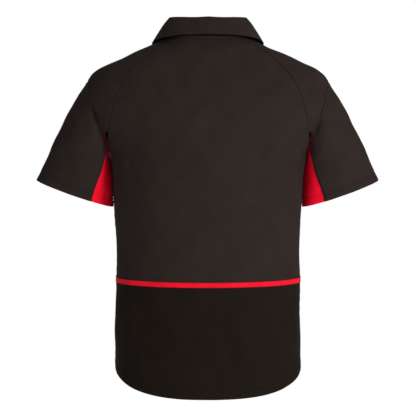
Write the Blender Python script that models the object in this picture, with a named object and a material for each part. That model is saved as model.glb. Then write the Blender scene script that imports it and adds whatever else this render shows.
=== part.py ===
"""A short-sleeved jersey with a folded collar, filled out as when worn and hollow.

The wearer would face +Y, with their right side towards +X, so the jersey's back
faces -Y. The origin lies midway between the shoulders, level with the neck.

The torso pieces lie on one form, made of level rings. A place on its right half
is a turn (0 centre back, 1 right side, 2 centre front) and a height z. The sleeve
is a run of tilted ellipses that starts at the armhole. Each piece is a grid of
points on these forms, and becomes a thin wall of cloth. The left half mirrors the
right. Sizes are in millimetres until the meshes are written.
"""
from collections import namedtuple
from functools import lru_cache
import math

import bmesh
import bpy
import numpy as np

MM = 0.001

# ---- cloth ----
BODY_CLOTH = 1.6
COLLAR_CLOTH = 2.0
TAPE_CLOTH = 1.0
SEAM_GAP = 0.3
LONGEST_MITRE = 1.6

# ---- torso form: level rings from the neck to below the hem ----
Ring = namedtuple("Ring", "z half_width back_depth front_depth squareness")
TORSO_RINGS = (
    Ring(z=40, half_width=40, back_depth=36, front_depth=30, squareness=2.2),
    Ring(z=-4, half_width=90, back_depth=59, front_depth=51, squareness=2.2),
    Ring(z=-13, half_width=109, back_depth=63, front_depth=59, squareness=2.2),
    Ring(z=-33, half_width=156, back_depth=72, front_depth=71, squareness=2.2),
    Ring(z=-47, half_width=184, back_depth=78, front_depth=78, squareness=2.25),
    Ring(z=-62, half_width=216, back_depth=84, front_depth=84, squareness=2.25),
    Ring(z=-77, half_width=234, back_depth=90, front_depth=89, squareness=2.3),
    Ring(z=-100, half_width=246, back_depth=99, front_depth=96, squareness=2.3),
    Ring(z=-130, half_width=253, back_depth=108, front_depth=104, squareness=2.3),
    Ring(z=-167, half_width=239, back_depth=114, front_depth=112, squareness=2.3),
    Ring(z=-191, half_width=218, back_depth=116, front_depth=116, squareness=2.3),
    Ring(z=-219, half_width=199, back_depth=117, front_depth=118, squareness=2.3),
    Ring(z=-257, half_width=192, back_depth=117, front_depth=118, squareness=2.3),
    Ring(z=-327, half_width=187.5, back_depth=115, front_depth=116, squareness=2.3),
    Ring(z=-425, half_width=182.5, back_depth=112, front_depth=112, squareness=2.3),
    Ring(z=-550, half_width=184, back_depth=114, front_depth=112, squareness=2.3),
    Ring(z=-720, half_width=186.5, back_depth=118, front_depth=115, squareness=2.3),
)
RING_SAMPLES = 97
PATH_SAMPLES = 121

# ---- neck ----
NECK_BACK_Z = -9.5
NECK_BACK_END = (59, -7)
SHOULDER_NECK_Z = -4
Place = namedtuple("Place", "x z")
NECKLINE_FRONT = (Place(72, -24), Place(51, -62), Place(27, -97), Place(0, -124))

# ---- raglan seam on the back, from the neck to the armpit ----
RAGLAN_BACK = (
    Place(59, -7), Place(94, -23.5), Place(131, -50), Place(157, -80),
    Place(176, -116), Place(187, -154), Place(193.5, -187),
)
RAGLAN_FRONT = (
    Place(72, -24), Place(102, -40), Place(134, -64), Place(158, -91),
    Place(176, -123), Place(187, -156), Place(193.5, -187),
)
NECKLINE_ROW_SAG = 35

# ---- armhole: an ellipse seen from the side ----
ARMHOLE_CENTRE_Z = -153
ARMHOLE_HALF_HEIGHT = 66
ARMHOLE_HALF_DEPTH = 59
ARMHOLE_SHOULDER_ANGLE = math.radians(158)
GUSSET_TOP_Z = -194
GUSSET_FOOT_Z = -240

# ---- tape and hem ----
TAPE_SIDE_Z = -479.5
TAPE_SAG = 6.5
TAPE_WIDTH = 10
TAPE_LIFT = 0.3
HEM_SIDE_Z = -647
HEM_BACK_Z = -703
HEM_FRONT_Z = -693
HEM_ROUNDING = 1.15

# ---- sleeve: ellipses from the armhole to the cuff ----
SleeveRing = namedtuple(
    "SleeveRing", "share top_x top_z under_x under_z half_depth middle_y back_drop gusset_reach")
SLEEVE_RINGS = (
    SleeveRing(0.00, 242, -87, 199, -219, 59.0, 0, 0, 54),
    SleeveRing(0.07, 250, -99, 198, -228, 56.5, 0, 0, 37),
    SleeveRing(0.13, 258, -111, 197.2, -235, 54.5, 0, 1, 35),
    SleeveRing(0.30, 276, -143, 193.9, -254, 53.0, 2, 2, 41),
    SleeveRing(0.48, 294, -179, 192.2, -275, 50.5, 5, 3, 46),
    SleeveRing(0.75, 320, -232, 190.3, -307, 46.0, 9, 5, 56),
    SleeveRing(1.00, 344, -282, 189.5, -336, 42.0, 13, 6, 63),
)
ARMHOLE_FADE = 0.35
SLEEVE_ROW_SPACING = 1.15

# ---- collar, by column from the centre back (0) to the point of the V ----
Fold = namedtuple("Fold", "column rise lean")
COLLAR_FOLD = (
    Fold(0, 43.5, 15), Fold(7, 41.5, 15), Fold(11, 41, 14), Fold(14, 42, 11), Fold(17, 37, 11),
    Fold(23, 18, 6), Fold(28, 3, 0),
)
Edge = namedtuple("Edge", "column x y z")
LEAF_EDGE = (
    Edge(0, 0, -76, -3.2), Edge(6, 44, -72, -3.8), Edge(11, 81, -57, -5.8),
    Edge(14, 110, 0, -10), Edge(17, 107, 50, -38), Edge(23, 80, 95, -105),
    Edge(28, 52, 110, -152),
)
NECK_AXIS_Y = 10
LEAF_CLEARANCE = 3.2
LEAF_BOW = 1
CLEARING_STEP = 0.5
CLEARING_ROUNDS = 6

# ---- largest folds of the cloth: ridges (+) and troughs (-) ----
Crease = namedtuple("Crease", "face x z tilt half_length half_width height")
CREASES = (
    Crease("back", 128, -290, 0, 150, 24, 2.0),
    Crease("back", 158, -585, -28, 50, 17, 2.2),
    Crease("back", 34, -610, 4, 60, 20, -1.6),
    Crease("back", -112, -570, 10, 60, 22, -2.0),
    Crease("back", -150, -330, -6, 90, 20, -1.6),
    Crease("front", -120, -300, 4, 130, 24, 2.0),
    Crease("front", 132, -420, -5, 120, 22, -2.0),
    Crease("front", 60, -590, -8, 60, 20, -1.8),
    Crease("front", -80, -600, 12, 55, 20, 2.0),
)
CREASE_FACE_DEPTH = 40

# ---- grid counts ----
BACK_COLUMNS = 11
NECK_END_COLUMNS = 6
FRONT_COLUMNS = 11
LOWER_ROWS = 7
UPPER_ROWS = 10
GUSSET_COLUMNS = 3
RAGLAN_ROWS = 8
SHOULDER_ROWS = 6
SLEEVE_ROWS = 10
STAND_ROWS = 2
LEAF_ROWS = 4

SHARP_ANGLE = math.radians(50)

# ---- colours, linear ----
Finish = namedtuple("Finish", "colour roughness")
FINISHES = {
    "upper_cloth": Finish((0.028, 0.021, 0.018), 0.75),
    "lower_cloth": Finish((0.012, 0.008, 0.006), 0.80),
    "gusset_cloth": Finish((0.590, 0.006, 0.021), 0.75),
    "tape_cloth": Finish((0.700, 0.008, 0.022), 0.60),
    "collar_cloth": Finish((0.028, 0.021, 0.019), 0.75),
}


# ======== curves ========

def smooth_curve(xs, ys):
    """A smooth function through points with rising xs that never overshoots them."""
    xs, ys = np.asarray(xs, float), np.asarray(ys, float)
    steps = np.diff(xs)
    rates = np.diff(ys) / steps
    slopes = np.zeros(len(xs))
    slopes[0], slopes[-1] = rates[0], rates[-1]
    same_way = rates[:-1] * rates[1:] > 0
    weight_before = 2 * steps[1:] + steps[:-1]
    weight_after = steps[1:] + 2 * steps[:-1]
    for i in np.nonzero(same_way)[0]:
        total = weight_before[i] + weight_after[i]
        slopes[i + 1] = total / (weight_before[i] / rates[i] + weight_after[i] / rates[i + 1])

    def value(x):
        x = np.clip(x, xs[0], xs[-1])
        i = np.clip(np.searchsorted(xs, x) - 1, 0, len(xs) - 2)
        t = (x - xs[i]) / steps[i]
        start = ys[i] * (1 + 2 * t) + slopes[i] * steps[i] * t
        end = ys[i + 1] * (3 - 2 * t) - slopes[i + 1] * steps[i] * (1 - t)
        return start * (1 - t) ** 2 + end * t ** 2

    return value


def columns_of(rows, key):
    """A smooth function of the key column for each other column of a table."""
    rows = sorted(rows, key=lambda row: getattr(row, key))
    keys = [getattr(row, key) for row in rows]
    return {name: smooth_curve(keys, [getattr(row, name) for row in rows])
            for name in rows[0]._fields if name != key}


def path_through(points):
    """A smooth path through a few points, as many closely spaced ones."""
    points = np.asarray(points, float)
    chords = np.linalg.norm(np.diff(points, axis=0), axis=1)
    travelled = np.concatenate(([0], np.cumsum(chords)))
    wanted = np.linspace(0, travelled[-1], PATH_SAMPLES)
    return np.stack([smooth_curve(travelled, axis)(wanted) for axis in points.T], axis=1)


def ease(t):
    """Rises smoothly from 0 at t = 0 to 1 at t = 1."""
    t = np.clip(t, 0, 1)
    return t * t * (3 - 2 * t)


# ======== torso form ========

TORSO = columns_of(TORSO_RINGS, "z")


@lru_cache(maxsize=None)
def quarter_ring(z, front):
    """A level ring from the side to the middle: share of its length, x and depth."""
    half_width = TORSO["half_width"](z)
    depth = TORSO["front_depth" if front else "back_depth"](z)
    power = 2 / TORSO["squareness"](z)
    angle = np.linspace(0, math.pi / 2, RING_SAMPLES)
    x = half_width * np.cos(angle) ** power
    y = depth * np.sin(angle) ** power
    x[-1] = 0
    length = np.concatenate(([0], np.cumsum(np.hypot(np.diff(x), np.diff(y)))))
    return length / length[-1], x, y


def torso_point(turn, z):
    """The point of the form at a turn from 0 to 2 and a height."""
    front = turn > 1
    share, x, y = quarter_ring(float(z), front)
    from_side = abs(turn - 1)
    depth = np.interp(from_side, share, y)
    return np.array((np.interp(from_side, share, x), depth if front else -depth, z))


def turn_at_x(x, z, front=False):
    share, xs, _ = quarter_ring(float(z), front)
    from_side = np.interp(x, xs[::-1], share[::-1])
    return 1 + from_side if front else 1 - from_side


def turn_at_depth(depth, z):
    share, _, depths = quarter_ring(float(z), False)
    return 1 - np.interp(depth, depths, share)


def torso_level(point):
    """1 on the torso form, less inside it and more outside."""
    x, y, z = point
    power = TORSO["squareness"](z)
    depth = TORSO["front_depth" if y > 0 else "back_depth"](z)
    return ((abs(x) / TORSO["half_width"](z)) ** power + (abs(y) / depth) ** power) ** (1 / power)


def on_torso(places):
    """Grid or row of (turn, z) places as points."""
    flat = places.reshape(-1, 2)
    return np.array([torso_point(*place) for place in flat]).reshape(places.shape[:-1] + (3,))


def evenly(path, segments):
    """Places along a path of (turn, z) places, evenly spaced on the form."""
    points = on_torso(path)
    travelled = np.concatenate(([0], np.cumsum(np.linalg.norm(np.diff(points, axis=0), axis=1))))
    wanted = np.linspace(0, travelled[-1], segments + 1)
    return np.stack([np.interp(wanted, travelled, axis) for axis in path.T], axis=1)


def to_front(places):
    """The same places on the front of the form."""
    return np.stack((2 - places[..., 0], places[..., 1]), axis=-1)


def coons(bottom, top, left, right):
    """A grid of places that fills the space between four rows of places."""
    u = np.linspace(0, 1, len(bottom))[None, :, None]
    v = np.linspace(0, 1, len(left))[:, None, None]
    across = (1 - u) * left[:, None] + u * right[:, None]
    upward = (1 - v) * bottom[None] + v * top[None]
    corners = ((1 - u) * (1 - v) * bottom[0] + u * (1 - v) * bottom[-1]
               + (1 - u) * v * top[0] + u * v * top[-1])
    return across + upward - corners


# ======== seams of the right half ========

def neck_back():
    end_x, end_z = NECK_BACK_END
    xs = np.linspace(0, end_x, BACK_COLUMNS + 1)
    zs = NECK_BACK_Z + (end_z - NECK_BACK_Z) * (xs / end_x) ** 2
    return np.array([(turn_at_x(x, z), z) for x, z in zip(xs, zs)])


def neck_end():
    """Over the shoulder, from the back raglan seam to the front one."""
    start = neck_back()[-1]
    end = neckline_front()[0]
    return evenly(path_through((start, (1, SHOULDER_NECK_Z), end)), NECK_END_COLUMNS)


def neckline_front():
    path = path_through(NECKLINE_FRONT)
    return evenly(np.array([(turn_at_x(x, z, True), z) for x, z in path]), FRONT_COLUMNS)


def raglan(front):
    """From the armpit to the neck."""
    path = path_through((RAGLAN_FRONT if front else RAGLAN_BACK)[::-1])
    return evenly(np.array([(turn_at_x(x, z, front), z) for x, z in path]), RAGLAN_ROWS)


def armhole_place(angle):
    """A place on the back half of the armhole, at an angle up from its foot."""
    z = ARMHOLE_CENTRE_Z - ARMHOLE_HALF_HEIGHT * math.cos(angle)
    return turn_at_depth(ARMHOLE_HALF_DEPTH * math.sin(angle), z), z


def gusset_top_angle():
    return math.acos((ARMHOLE_CENTRE_Z - GUSSET_TOP_Z) / ARMHOLE_HALF_HEIGHT)


def armhole_seam():
    """Back to front over the top, between the gusset's two corners."""
    to_shoulder = np.linspace(gusset_top_angle(), ARMHOLE_SHOULDER_ANGLE, PATH_SAMPLES)
    over_top = np.linspace(ARMHOLE_SHOULDER_ANGLE, math.pi, PATH_SAMPLES)
    back = evenly(np.array([armhole_place(angle) for angle in to_shoulder]), RAGLAN_ROWS)
    top = np.array([armhole_place(angle) for angle in over_top])
    top = evenly(np.concatenate((top, to_front(top[-2::-1]))), NECK_END_COLUMNS)
    return np.concatenate((back, top[1:-1], to_front(back[::-1])))


def armpit_fold():
    """Back to front through the armhole's foot, where the gusset folds."""
    angles = np.linspace(gusset_top_angle(), 0, PATH_SAMPLES)
    back = np.array([armhole_place(angle) for angle in angles])
    return evenly(np.concatenate((back, to_front(back[-2::-1]))), 2 * GUSSET_COLUMNS)


def gusset_foot():
    """The gusset's V on the body, back to front, between the raglan seams."""
    start = raglan(front=False)[0]
    foot = np.array((1, GUSSET_FOOT_Z))
    back = np.linspace(start, foot, PATH_SAMPLES)
    return evenly(np.concatenate((back, to_front(back[-2::-1]))), 2 * GUSSET_COLUMNS)


def tape_z(turn):
    """Height of the tape's middle on the back."""
    return TAPE_SIDE_Z - TAPE_SAG * (1 - turn ** 2)


def hem_z(turn):
    """The hem rises towards the sides as a rounded shirt tail."""
    middle_z = HEM_FRONT_Z if turn > 1 else HEM_BACK_Z
    share, x, _ = quarter_ring(float(HEM_SIDE_Z), turn > 1)
    across = np.interp(abs(turn - 1), share, x) / x[0]
    towards_middle = math.sqrt(1 - across ** TORSO["squareness"](HEM_SIDE_Z))
    return middle_z + (HEM_SIDE_Z - middle_z) * (1 - towards_middle) ** HEM_ROUNDING


def side_seam():
    """Heights of the side seam's points, from the hem to the gusset's foot."""
    half_tape = TAPE_WIDTH / 2
    lower = np.linspace(HEM_SIDE_Z, TAPE_SIDE_Z - half_tape, LOWER_ROWS + 1)
    upper = np.linspace(TAPE_SIDE_Z + half_tape, GUSSET_FOOT_Z, UPPER_ROWS + 1)
    return lower, upper


# ======== pieces of the right half, as grids of points ========

def mirrored(grid):
    return grid[:, ::-1] * (-1, 1, 1)


def whole_back(half):
    """Both halves, from a right half that starts at the centre back."""
    return np.concatenate((mirrored(half)[:, :-1], half), axis=1)


def whole_front(half):
    """Both halves, from a right half that ends at the centre front."""
    return np.concatenate((half, mirrored(half)[:, 1:]), axis=1)


def lower_back_half():
    turns = np.linspace(0, 1, BACK_COLUMNS + 1)
    hem = np.array([hem_z(turn) for turn in turns])
    tape = tape_z(turns)
    height = tape - TAPE_WIDTH / 2 - hem
    rows = [hem + height * row / LOWER_ROWS for row in range(LOWER_ROWS + 1)]
    rows.append(tape)
    return on_torso(np.array([np.stack((turns, row), axis=1) for row in rows]))


def back_half():
    turns = np.linspace(0, 1, BACK_COLUMNS + 1)
    seam_row = np.stack((turns, tape_z(turns)), axis=1)
    first_row = seam_row + (0, TAPE_WIDTH / 2)
    _, side = side_seam()
    right = np.concatenate((
        np.stack((np.ones(len(side)), side), axis=1),
        gusset_foot()[:GUSSET_COLUMNS + 1][::-1][1:],
        raglan(front=False)[1:],
    ))
    top = neck_back()
    sag = np.linspace(first_row[0, 1] - right[0, 1], top[0, 1] - right[-1, 1], len(right))
    middle = np.stack((np.zeros(len(right)), right[:, 1] + sag), axis=1)
    grid = coons(first_row, top, middle, right)
    return on_torso(np.concatenate((seam_row[None], grid)))


def front_half():
    turns = np.linspace(1, 2, FRONT_COLUMNS + 1)
    bottom = np.array([(turn, hem_z(turn)) for turn in turns])
    top = neckline_front()
    lower, upper = side_seam()
    side = np.concatenate((lower, [TAPE_SIDE_Z], upper))
    left = np.concatenate((
        np.stack((np.ones(len(side)), side), axis=1),
        gusset_foot()[GUSSET_COLUMNS:][1:],
        raglan(front=True)[1:],
    ))
    below = len(side)
    risen = np.linspace(0, 1, below)
    drop = (left[0, 1] - bottom[-1, 1]) * (1 - risen) ** 2 + NECKLINE_ROW_SAG * risen
    above = np.linspace(side[-1] - drop[-1], top[-1, 1], len(left) - below + 1)[1:]
    middle_z = np.concatenate((side - drop, above))
    middle = np.stack((np.full(len(left), 2.0), middle_z), axis=1)
    return on_torso(coons(bottom, top, left, middle))


def shoulder_panel():
    """Straight lines from the armhole to the raglan seam and neck, pressed onto the form."""
    inner = np.concatenate((raglan(front=False), neck_end()[1:], raglan(front=True)[::-1][1:]))
    lines = np.linspace(on_torso(armhole_seam()), on_torso(inner), SHOULDER_ROWS + 1)
    for row in lines[1:-1]:
        row[:, :2] /= np.array([torso_level(point) for point in row])[:, None]
    return lines


SLEEVE = columns_of(SLEEVE_RINGS, "share")


@lru_cache(maxsize=None)
def sleeve_ring(share):
    """A tilted ellipse from the underarm up the back and round: length, shares and points."""
    at = {name: column(share) for name, column in SLEEVE.items()}
    top = np.array((at["top_x"], at["middle_y"], at["top_z"]))
    under = np.array((at["under_x"], at["middle_y"], at["under_z"]))
    backward = np.array((0, -at["half_depth"], -at["back_drop"]))
    angle = np.linspace(0, 2 * math.pi, 4 * RING_SAMPLES)[:, None]
    points = (top + under) / 2 - np.cos(angle) * (top - under) / 2 + np.sin(angle) * backward
    length = np.concatenate(([0], np.cumsum(np.linalg.norm(np.diff(points, axis=0), axis=1))))
    return length[-1], length / length[-1], points


def sleeve_point(share, around):
    _, shares, points = sleeve_ring(share)
    return np.array([np.interp(around % 1, shares, axis) for axis in points.T])


def sleeve_grid(armhole, first, last):
    """Rows from the armhole to the cuff; first and last give each row's ends round the ring."""
    columns = np.linspace(0, 1, len(armhole))
    rows = []
    for share in np.linspace(0, 1, SLEEVE_ROWS + 1) ** SLEEVE_ROW_SPACING:
        around = first(share) + (last(share) - first(share)) * columns
        around_at_armhole = first(0) + (last(0) - first(0)) * columns
        fade = 1 - ease(share / ARMHOLE_FADE)
        rows.append([sleeve_point(share, a) + (point - sleeve_point(0, b)) * fade
                     for a, b, point in zip(around, around_at_armhole, armhole)])
    return np.array(rows)


def gusset_share(share):
    """How far round the sleeve the gusset reaches to each side of the underarm."""
    return SLEEVE["gusset_reach"](share) / sleeve_ring(share)[0]


def sleeve():
    armhole = on_torso(armhole_seam())
    return sleeve_grid(armhole, gusset_share, lambda share: 1 - gusset_share(share))[::-1]


def gusset():
    """The body's part up to the armpit fold, and then the sleeve's part to the cuff."""
    fold = armpit_fold()
    foot = gusset_foot()
    back_end = np.linspace(foot[0], fold[0], SHOULDER_ROWS + 1)
    front_end = np.linspace(foot[-1], fold[-1], SHOULDER_ROWS + 1)
    body_part = on_torso(coons(foot, fold, back_end, front_end))
    shoulder = shoulder_panel()
    body_part[:, 0] = shoulder[::-1, 0]
    body_part[:, -1] = shoulder[::-1, -1]
    sleeve_part = sleeve_grid(on_torso(fold), gusset_share, lambda share: -gusset_share(share))
    return np.concatenate((body_part, sleeve_part[1:]))


# ======== collar, from the centre back to the point of the V ========

def neck_seam():
    return np.concatenate((neck_back(), neck_end()[1:], neckline_front()[1:]))


def stand_half():
    seam = on_torso(neck_seam())
    fold = columns_of(COLLAR_FOLD, "column")
    column = np.arange(len(seam))
    inward = (0, NECK_AXIS_Y) - seam[:, :2]
    inward /= np.linalg.norm(inward, axis=1)[:, None]
    top = seam.copy()
    top[:, :2] += inward * fold["lean"](column)[:, None]
    top[:, 2] += fold["rise"](column)
    return np.linspace(seam, top, STAND_ROWS + 1)


def moved_clear(point, clearance):
    """The point, moved straight out where it lies too near the torso form."""
    steps = CLEARING_STEP * np.eye(3)
    for _ in range(CLEARING_ROUNDS):
        level = torso_level(point)
        slope = np.array([torso_level(point + step) - level for step in steps]) / CLEARING_STEP
        steepness = np.linalg.norm(slope)
        shortfall = clearance - (level - 1) / steepness
        if shortfall > 0:
            point = point + slope / steepness * shortfall
    return point


def leaf_half():
    top = stand_half()[-1]
    edge_column = columns_of(LEAF_EDGE, "column")
    column = np.arange(len(top))
    edge = np.stack([edge_column[axis](column) for axis in "xyz"], axis=1)
    rows = [top]
    for share in np.linspace(0, 1, LEAF_ROWS + 1)[1:]:
        row = top + (edge - top) * share
        row[:, 2] += LEAF_BOW * math.sin(math.pi * share)
        clearance = LEAF_CLEARANCE * ease(2 * share)
        rows.append(np.array([moved_clear(point, clearance) for point in row]))
    return np.array(rows)


# ======== folds and walls ========

def crease_height(point):
    x, y, z = point
    height = 0
    for crease in CREASES:
        facing = ease((-y if crease.face == "back" else y) / CREASE_FACE_DEPTH)
        tilt = math.radians(crease.tilt)
        across = (x - crease.x) * math.cos(tilt) + (z - crease.z) * math.sin(tilt)
        along = (z - crease.z) * math.cos(tilt) - (x - crease.x) * math.sin(tilt)
        spread = (across / crease.half_width) ** 2 + (along / crease.half_length) ** 2
        height += facing * crease.height * math.exp(-spread)
    return height


def key_of(point):
    return tuple(np.round(point, 3) + 0.0)


def seam_normals(grids):
    """The outward direction at every point, shared by the pieces that meet there."""
    faces_at = {}
    for grid in grids:
        diagonal = grid[1:, 1:] - grid[:-1, :-1]
        other = grid[1:, :-1] - grid[:-1, 1:]
        normals = np.cross(diagonal, other)
        normals /= np.linalg.norm(normals, axis=2)[:, :, None]
        for row, column in np.ndindex(normals.shape[:2]):
            for corner in ((0, 0), (0, 1), (1, 0), (1, 1)):
                key = key_of(grid[row + corner[0], column + corner[1]])
                faces_at.setdefault(key, []).append(normals[row, column])
    normal_at = {}
    for key, normals in faces_at.items():
        total = np.sum(normals, axis=0)
        normal = total / np.linalg.norm(total)
        mitre = 1 / max(np.mean(normals @ normal), 1 / LONGEST_MITRE)
        normal_at[key] = (normal, mitre)
    return normal_at


def normals_on(grid, normal_at):
    found = [[normal_at[key_of(point)] for point in row] for row in grid]
    normals = np.array([[normal for normal, _ in row] for row in found])
    mitres = np.array([[mitre for _, mitre in row] for row in found])
    return normals, mitres


def edge_drawn_in(edge, inner, margin):
    """An edge's points, moved into the piece square to the edge."""
    along = np.gradient(edge, axis=0)
    along /= np.linalg.norm(along, axis=1)[:, None]
    inward = inner - edge
    inward -= np.sum(inward * along, axis=1)[:, None] * along
    return inward / np.linalg.norm(inward, axis=1)[:, None] * margin


def drawn_in(grid, margin=SEAM_GAP / 2):
    """The grid with its four edges moved back from the seam lines."""
    moved = grid.copy()
    moved[0] += edge_drawn_in(grid[0], grid[1], margin)
    moved[-1] += edge_drawn_in(grid[-1], grid[-2], margin)
    moved[:, 0] += edge_drawn_in(grid[:, 0], grid[:, 1], margin)
    moved[:, -1] += edge_drawn_in(grid[:, -1], grid[:, -2], margin)
    return moved


def finish_material(name):
    finish = FINISHES[name]
    material = bpy.data.materials.get(name) or bpy.data.materials.new(name)
    material.use_nodes = True
    shader = material.node_tree.nodes["Principled BSDF"]
    shader.inputs["Base Color"].default_value = (*finish.colour, 1)
    shader.inputs["Roughness"].default_value = finish.roughness
    shader.inputs["Metallic"].default_value = 0
    material.diffuse_color = (*finish.colour, 1)
    return material


def wall_object(name, face, back, finish):
    """A closed wall between a grid and its offset on the far side of the cloth."""
    rows, columns = face.shape[:2]
    mesh_maker = bmesh.new()
    layers = [[[mesh_maker.verts.new(point * MM) for point in row] for row in grid]
              for grid in (face, back)]
    outer, inner = layers
    for row in range(rows - 1):
        for column in range(columns - 1):
            corners = ((row, column), (row, column + 1), (row + 1, column + 1), (row + 1, column))
            mesh_maker.faces.new([outer[r][c] for r, c in corners])
            mesh_maker.faces.new([inner[r][c] for r, c in corners[::-1]])
    rim = ([(0, c) for c in range(columns)]
           + [(r, columns - 1) for r in range(1, rows)]
           + [(rows - 1, c) for c in range(columns - 2, -1, -1)]
           + [(r, 0) for r in range(rows - 2, 0, -1)])
    for (r0, c0), (r1, c1) in zip(rim, rim[1:] + rim[:1]):
        mesh_maker.faces.new((outer[r1][c1], outer[r0][c0], inner[r0][c0], inner[r1][c1]))
    bmesh.ops.triangulate(mesh_maker, faces=mesh_maker.faces[:], quad_method="LONG_EDGE")
    mesh = bpy.data.meshes.new(name)
    mesh_maker.to_mesh(mesh)
    mesh_maker.free()
    mesh.materials.append(finish_material(finish))
    mesh.shade_smooth()
    mesh.set_sharp_from_angle(angle=SHARP_ANGLE)
    piece = bpy.data.objects.new(name, mesh)
    bpy.context.scene.collection.objects.link(piece)
    return piece


# ======== the jersey ========

def cloth_grids():
    """Each cut piece's grid, the thickness of its cloth and its finish."""
    pieces = {
        "back_panel": (whole_back(back_half()), BODY_CLOTH, "upper_cloth"),
        "lower_back_panel": (whole_back(lower_back_half()), BODY_CLOTH, "lower_cloth"),
        "front_panel": (whole_front(front_half()), BODY_CLOTH, "upper_cloth"),
        "collar_stand": (whole_back(stand_half()), COLLAR_CLOTH, "collar_cloth"),
        "collar_leaf": (whole_back(leaf_half()), COLLAR_CLOTH, "collar_cloth"),
    }
    sided = {
        "shoulder_panel": (shoulder_panel(), "upper_cloth"),
        "sleeve": (sleeve(), "upper_cloth"),
        "gusset": (gusset(), "gusset_cloth"),
    }
    for name, (grid, finish) in sided.items():
        pieces[name + "_right"] = (grid, BODY_CLOTH, finish)
        pieces[name + "_left"] = (mirrored(grid), BODY_CLOTH, finish)
    return pieces


def creased(grid, normal_at):
    normals, _ = normals_on(grid, normal_at)
    heights = np.array([[crease_height(point) for point in row] for row in grid])
    return grid + normals * heights[:, :, None]


def make_tape(back, lower_back, normal_at):
    """The tape repeats the panels' points beside their seam, moved out."""
    rows = np.stack((lower_back[-2], back[0], back[1]))
    normals, _ = normals_on(rows, normal_at)
    rows = drawn_in(rows)
    wall_object("back_tape", rows + normals * (TAPE_LIFT + TAPE_CLOTH),
                rows + normals * TAPE_LIFT, "tape_cloth")


def make_jersey():
    pieces = cloth_grids()
    smooth_normals = seam_normals([grid for grid, _, _ in pieces.values()])
    shaped = {name: creased(grid, smooth_normals) for name, (grid, _, _) in pieces.items()}
    normal_at = seam_normals(shaped.values())
    for name, (_, thickness, finish) in pieces.items():
        face = drawn_in(shaped[name])
        normals, mitres = normals_on(shaped[name], normal_at)
        back = face - normals * (thickness * mitres)[:, :, None]
        wall_object(name, face, back, finish)
    make_tape(shaped["back_panel"], shaped["lower_back_panel"], normal_at)


for old in list(bpy.data.objects):
    bpy.data.objects.remove(old)
make_jersey()
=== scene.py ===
"""The cloth, sewing and studio of a hollow short-sleeved jersey, seen from behind.

Each cut piece is a fine sheet laid on the outer side of its solid. The sheet gets
the cloth's folds, its seam valleys and its needle grooves as heights along its own
normals, and then its thickness. Sizes are in millimetres until a mesh is written.
The wearer would face +Y, with their right side towards +X.
"""
import math
from collections import namedtuple

import bmesh
import bpy
import numpy as np
from mathutils import Matrix, Vector
from mathutils.kdtree import KDTree


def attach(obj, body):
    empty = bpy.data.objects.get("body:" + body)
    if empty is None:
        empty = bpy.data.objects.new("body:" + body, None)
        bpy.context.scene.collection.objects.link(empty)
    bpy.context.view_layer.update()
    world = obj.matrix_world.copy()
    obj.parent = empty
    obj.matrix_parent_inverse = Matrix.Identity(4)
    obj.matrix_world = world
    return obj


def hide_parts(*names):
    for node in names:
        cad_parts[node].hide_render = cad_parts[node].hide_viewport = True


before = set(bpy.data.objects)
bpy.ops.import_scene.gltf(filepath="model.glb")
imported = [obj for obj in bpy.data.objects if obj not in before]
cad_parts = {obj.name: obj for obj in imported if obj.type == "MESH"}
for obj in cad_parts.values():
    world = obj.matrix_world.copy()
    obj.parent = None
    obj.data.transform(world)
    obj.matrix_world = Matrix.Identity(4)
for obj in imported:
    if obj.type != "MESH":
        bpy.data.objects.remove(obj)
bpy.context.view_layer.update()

MM = 0.001
CLOTH_UV = "cloth"

# ---- camera: the plane y = 0 fills the picture's width ----
CAMERA_DISTANCE = 2200
CAMERA_HEIGHT = -339
CAMERA_SIDE_STEP = -46
PICTURE_WIDTH = 832
SENSOR_WIDTH = 36

# ---- studio ----
FLOOR_HEIGHT = -1500
FLOOR_RADIUS = 3000
FLOOR_SIDES = 128
FLOOR_GLOW = 0.4
SKY_SEEN = 1.0
SKY_LIGHT = 0.30
Lamp = namedtuple("Lamp", "name x y z size power")
LAMPS = (
    Lamp("key_softbox", 1950, -2050, 120, 900, 86),
    Lamp("fill_softbox", -1500, -2300, 0, 1500, 17),
    Lamp("top_softbox", 700, -600, 1900, 1200, 8),
    Lamp("front_softbox", 0, 2700, 200, 900, 34),
)
LAMP_AIM = (0, 0, -330)

# ---- reading the solids, whose meshes are in metres ----
MERGE_DISTANCE = 1e-5
DIAGONAL_SLACK = 0.02
RIM_ANGLE = math.radians(38)
RIM_AREA = 25e-6

# ---- thickness of the cloths ----
CLOTH = 1.0
TURNED_CLOTH = 1.8
COLLAR_CLOTH = 1.6
TAPE_CLOTH = 0.9

# ---- seams ----
SEWN = ("seam", "tape")
SEAM_MARKS = (0, 0.45, 0.95, 1.5, 2.2, 3.1, 4.3, 6.0)
SEAM_CLOSE = 0.2
# How deep a cloth's seam valleys are, how far it runs on past a seam, and how deep it
# turns in there.
Seam = namedtuple("Seam", "valley past depth")
SEAMS = {
    "upper_cloth": Seam(1.4, 0.2, 1.3),
    "lower_cloth": Seam(1.4, 0.2, 1.3),
    "collar_cloth": Seam(1.0, 1.8, 1.8),
    "gusset_cloth": Seam(0.35, 1.2, 0.9),
}
SEAM_VALLEY_WIDTH = 1.15
SEAM_RIDGE = 0.35
SEAM_RIDGE_WIDTH = 6.5
PUCKER = 0.32
PUCKER_REACH = 12
PUCKER_LENGTH = 3.1
PUCKER_DRIFT = 23
PUCKER_SWELL = 17
NEIGHBOUR_REACH = 2.5
TURN_REACH = 7

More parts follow.
